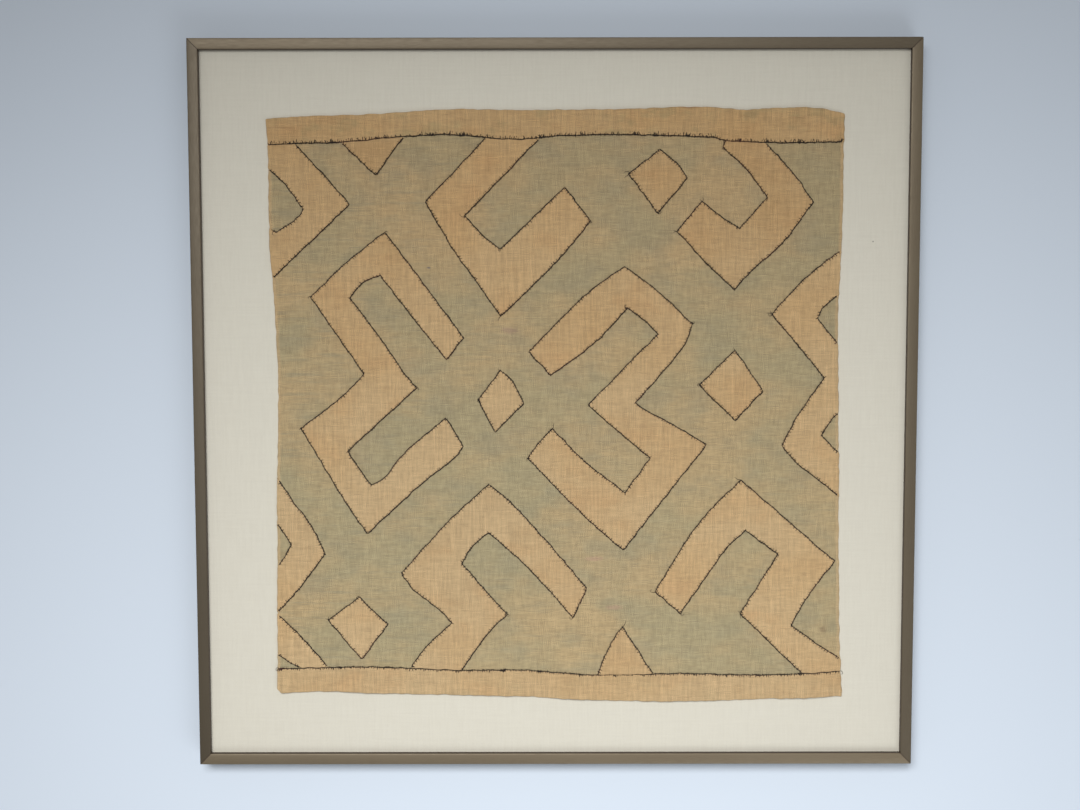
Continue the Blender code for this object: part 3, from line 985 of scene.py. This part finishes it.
def wornAt(node, x):
    # 1 where the seam's thread is whole, and down to nothing where it is worn away
    if node != wornSeam["node"] or not wornSeam["from"] < x < wornSeam["to"]:
        return 1.0
    if wornSeam["bareFrom"] < x < wornSeam["bareTo"]:
        return 0.05
    return 0.12 + 0.9 * max(0.0, math.sin(tau * x / wornSeam["dots"]))


def makeLegMaster():
    # one stitch, a unit long, a unit thick and arched; it is copied along every seam
    deselectAll()
    bpy.ops.mesh.primitive_cylinder_add(vertices=5, radius=1, depth=1, rotation=(0, math.pi / 2, 0))
    master = bpy.context.object
    master.name = "stitch_master"
    bpy.ops.object.transform_apply(location=True, rotation=True, scale=True)
    bpy.ops.object.mode_set(mode="EDIT")
    for cut in (-0.25, 0.0, 0.25):
        bpy.ops.mesh.select_all(action="SELECT")
        bpy.ops.mesh.bisect(plane_co=(cut, 0, 0), plane_no=(1, 0, 0))
    bpy.ops.object.mode_set(mode="OBJECT")
    points = np.array([tuple(v.co) for v in master.data.vertices])
    points[:, 0] += 0.5
    faces = [list(p.vertices) for p in master.data.polygons]
    bpy.data.objects.remove(master)
    return points, faces


legPoints, legFaces = makeLegMaster()


def stitchMesh(name, node, look, draw, places, levelAt):
    # legs: each crosses the turned edge and dives into the piece
    outline, inward = outlines[node], inwardOf(outlines[node])
    count = len(outline)
    points, faces = [], []
    for at in places:
        index = int(at) % count
        share = at - int(at)
        foot = outline[index] * (1 - share) + outline[(index + 1) % count] * share
        turn = draw.gauss(0.0, look["slant"])
        side = inward[index]
        heading = np.array([
            side[0] * math.cos(turn) - side[1] * math.sin(turn),
            side[0] * math.sin(turn) + side[1] * math.cos(turn),
        ])
        across = np.array([-heading[1], heading[0]])
        long = look["leg"] + draw.uniform(-0.6, 1.0) * look["legVary"]
        thick = stitchLook["legRadius"] * draw.uniform(0.7, 1.3) * (0.3 + 0.7 * min(1.0, wornAt(node, foot[0])))
        before = look["outwards"] * draw.uniform(0.4, 1.2)
        start = foot - heading * before
        along = legPoints[:, 0] * (long + before)
        flat = start + np.outer(along, heading) + np.outer(legPoints[:, 1] * thick, across)
        end = start + heading * (long + before)
        levels = (levelAt(*foot, 0.0) - 0.25 * mm, levelAt(*end, long))
        rise = levels[0] * (1 - legPoints[:, 0]) + levels[1] * legPoints[:, 0]
        arch = 0.42 * mm * np.sin(math.pi * np.clip(legPoints[:, 0] * 0.9 + 0.12, 0, 1))
        dive = -0.45 * mm * (legPoints[:, 0] > 0.95)
        height = rise + arch + dive + legPoints[:, 2] * thick
        base = len(points)
        points.extend(zip(flat[:, 0], flat[:, 1], height))
        faces.extend([base + i for i in face] for face in legFaces)
    return newPiece(name, [tuple(p) for p in points], faces)


def cordCurve(name, lines, radius):
    # threads as one curve object with round section, made a mesh
    curve = bpy.data.curves.new(name, "CURVE")
    curve.dimensions = "3D"
    curve.bevel_depth = radius
    curve.bevel_resolution = 1
    curve.use_fill_caps = True
    for line in lines:
        spline = curve.splines.new("POLY")
        spline.points.add(len(line) - 1)
        for point, (x, y, z, swell) in zip(spline.points, line):
            point.co = (x, y, z, 1.0)
            point.radius = swell
    cord = bpy.data.objects.new(name, curve)
    bpy.context.scene.collection.objects.link(cord)
    makeActive(cord)
    bpy.ops.object.convert(target="MESH")
    return bpy.context.object


def sharpCorners(node):
    # indices along the outline where it turns sharply and is sewn
    outline, sewn = outlines[node], stitchedMask(node)
    ahead, behind = np.roll(outline, -3, axis=0) - outline, outline - np.roll(outline, 3, axis=0)
    turn = np.arctan2(ahead[:, 1], ahead[:, 0]) - np.arctan2(behind[:, 1], behind[:, 0])
    turn = np.abs((turn + math.pi) % tau - math.pi)
    corners = []
    for index in np.flatnonzero((turn > math.radians(looseEnds["corner"])) & sewn):
        if not corners or index - corners[-1] > 6:
            corners.append(int(index))
        elif turn[index] > turn[corners[-1]]:
            corners[-1] = int(index)
    return corners


def looseThreads(node, draw):
    # at many corners the thread ends in one or two short curled tails that lie on the cloth
    outline, inward = outlines[node], inwardOf(outlines[node])
    tails = []
    for corner in sharpCorners(node):
        if draw.random() > looseEnds["share"]:
            continue
        for _ in range(draw.choice((1, 1, 2))):
            x, y = outline[corner]
            heading = math.atan2(-inward[corner][1], -inward[corner][0]) + draw.gauss(0.0, 1.0)
            bend = draw.uniform(-0.55, 0.55)
            stride = draw.uniform(*looseEnds["long"]) / looseEnds["steps"]
            tail = []
            for step in range(looseEnds["steps"] + 1):
                within = bool(insideOf(outline, np.array([[x, y]]))[0])
                carried = layers["patchRim"] if within or step == 0 else layers["groundThick"]
                level = clothLevel + clothLift(x, y) + carried + 0.35 * mm
                tail.append((x, y, level, 1.0 - 0.5 * step / looseEnds["steps"]))
                heading += bend + draw.gauss(0.0, 0.18)
                x += stride * math.cos(heading)
                y += stride * math.sin(heading)
            tails.append(tail)
    return tails


def makeStitching(node, look, levelAt, places, draw):
    name = node.replace("patch_", "stitching_").replace("band_", "stitching_band_")
    outline, inward = outlines[node], inwardOf(outlines[node])
    count = len(outline)
    lines = []
    for first, last in stitchRuns(stitchedMask(node)):
        line = []
        for step in range(first, last + 1):
            x, y = outline[step % count]
            shift = noise.noise(Vector((x, y, 3.0)) / (2.4 * mm)) * stitchLook["cordWander"]
            x -= inward[step % count][0] * (0.15 * mm + shift)
            y -= inward[step % count][1] * (0.15 * mm + shift)
            swell = 1.0 + stitchLook["cordSwell"] * noise.noise(Vector((x, y, 9.0)) / (2.0 * mm))
            line.append((x, y, levelAt(x, y, 0.0) + 0.3 * mm, max(0.05, swell * wornAt(node, x))))
        lines.append(line)
    if not lines:
        return None
    cord = cordCurve(name, lines, stitchLook["cordRadius"])
    tufts = looseThreads(node, draw)
    if tufts:
        ends = cordCurve(name + "_ends", tufts, looseEnds["radius"])
        makeActive(cord)
        ends.select_set(True)
        bpy.ops.object.join()
    legs = stitchMesh(name + "_legs", node, look, draw, places, levelAt)
    makeActive(cord)
    legs.select_set(True)
    bpy.ops.object.join()
    shadeSmooth(cord, 60)
    dress(cord, darkThread, "dark_thread")
    return cord


# Sewn-on pieces and bands

def makeSewn(node, seed):
    look = bandStitches.get(node, patchStitch)
    draw = random.Random(seed)
    outline = outlines[node]
    sewn = stitchedMask(node)
    places = legPlaces(node, look, draw)
    phases = np.interp(np.arange(len(outline)) % len(outline), places, np.arange(len(places))) if places else None
    # where the piece reaches the cloth's own edge it wraps just over it
    onEdge = distancesTo(outlineTrees["ground_cloth"], outline) < stitchLook["hiddenWithin"]
    inward = inwardOf(outline)
    shaped = outline - inward * (onEdge * layers["wrapOut"])[:, None]

    def topLevel(x, y, gap):
        rim = easeStep(-0.2 * mm, 0.9 * mm, gap)
        settle = easeStep(layers["rimWide"], layers["rimWide"] + 3 * mm, gap)
        level = layers["patchEdge"] + (layers["patchRim"] - layers["patchEdge"]) * rim
        level -= (layers["patchRim"] - layers["patchInner"]) * settle
        return clothLevel + clothLift(x, y) + level

    def heightAt(points, gaps, index):
        level = np.array([topLevel(x, y, g) for (x, y), g in zip(points, gaps)])
        wrapped = onEdge[index] * (1.0 - easeStep(0.0, 0.9 * mm, gaps)) * 0.8 * mm
        level -= wrapped
        if places:
            swing = np.cos(tau * phases[index]) * np.exp(-((gaps - 1.1 * mm) / look["decay"]) ** 2)
            level -= look["pucker"] * swing * sewn[index] * easeStep(0.0, 0.6 * mm, gaps)
        return level

    rings = [r * mm for r in (0.35, 0.8, 1.5, 2.5, 4.0, 6.0)]
    pitch = 5.5 * mm
    sheetName = node.replace("patch_", "raffia_").replace("band_", "raffia_band_")
    piece = flatSheet(sheetName, shaped, rings, pitch, heightAt, layers["patchThick"])
    tint = piece.data.attributes.new("pieceTint", "FLOAT", "POINT")
    tint.data.foreach_set("value", np.full(len(piece.data.vertices), draw.random(), np.float32))
    bandShare = piece.data.attributes.new("bandShare", "FLOAT", "POINT")
    mottled = {"band_top": 1.0, "band_bottom": 0.3}.get(node, 0.0)
    bandShare.data.foreach_set("value", np.full(len(piece.data.vertices), mottled, np.float32))
    shadeSmooth(piece, 50)
    dress(piece, undyedRaffia, "undyed_raffia", node)
    declareSheet(shaped, layers["turnedEdge"])
    makeStitching(node, look, topLevel, places, draw)
    return piece


makeGround()
print("ground cloth made")
for number, node in enumerate(sewnNodes):
    makeSewn(node, 40 + number)
print("sewn pieces and stitching made")


# Stage, light and camera

stageLook = {
    "floorSize": 8.0,
    "floorPale": (0.65, 0.735, 0.85, 1),
}
cameraPlace = {
    "location": (-0.0148, 0.1142, 1.5724),
    "tilt": -0.0721,
    "roll": 0.0011,
    "turn": -0.0016,
    "lens": 46.67,
}
lights = [
    # name, place, aim, width, height, power, spread in degrees, colour
    ("key", (-0.50, 0.85, 2.6), (0.10, -1.2, 0.0), 1.4, 0.9, 15.8, 72, (1.0, 0.99, 0.97)),
    ("fill", (0.9, -1.6, 1.5), (0.40, -0.45, 0.0), 1.6, 1.0, 4.2, 110, (0.97, 0.99, 1.0)),
]


def makeStage():
    material, tree, shader = newMaterial("paleFloor")
    shader.inputs["Base Color"].default_value = stageLook["floorPale"]
    shader.inputs["Roughness"].default_value = 0.9
    deselectAll()
    bpy.ops.mesh.primitive_plane_add(size=stageLook["floorSize"])
    floor = bpy.context.object
    floor.name = "floor"
    floor.data.materials.append(material)


def makeLights():
    for name, place, aim, width, height, power, spread, colour in lights:
        lamp = bpy.data.lights.new(name, "AREA")
        lamp.shape = "RECTANGLE"
        lamp.size, lamp.size_y = width, height
        lamp.energy = power
        lamp.spread = math.radians(spread)
        lamp.color = colour
        holder = bpy.data.objects.new(name, lamp)
        holder.location = place
        holder.rotation_euler = (Vector(aim) - Vector(place)).to_track_quat("-Z", "Y").to_euler()
        bpy.context.scene.collection.objects.link(holder)
    world = bpy.data.worlds.new("softRoom")
    world.use_nodes = True
    world.node_tree.nodes["Background"].inputs["Color"].default_value = (1.0, 0.97, 0.93, 1)
    world.node_tree.nodes["Background"].inputs["Strength"].default_value = 0.25
    bpy.context.scene.world = world


def makeCamera():
    lens = bpy.data.cameras.new("camera")
    lens.lens = cameraPlace["lens"]
    lens.sensor_width = 36.0
    lens.sensor_fit = "HORIZONTAL"
    camera = bpy.data.objects.new("camera", lens)
    camera.location = cameraPlace["location"]
    camera.rotation_euler = Euler(
        (cameraPlace["tilt"], cameraPlace["roll"], cameraPlace["turn"]), "XYZ"
    )
    bpy.context.scene.collection.objects.link(camera)
    bpy.context.scene.camera = camera


makeStage()
makeLights()
makeCamera()
bpy.context.scene.view_settings.view_transform = "Standard"
print("stage, light and camera set")
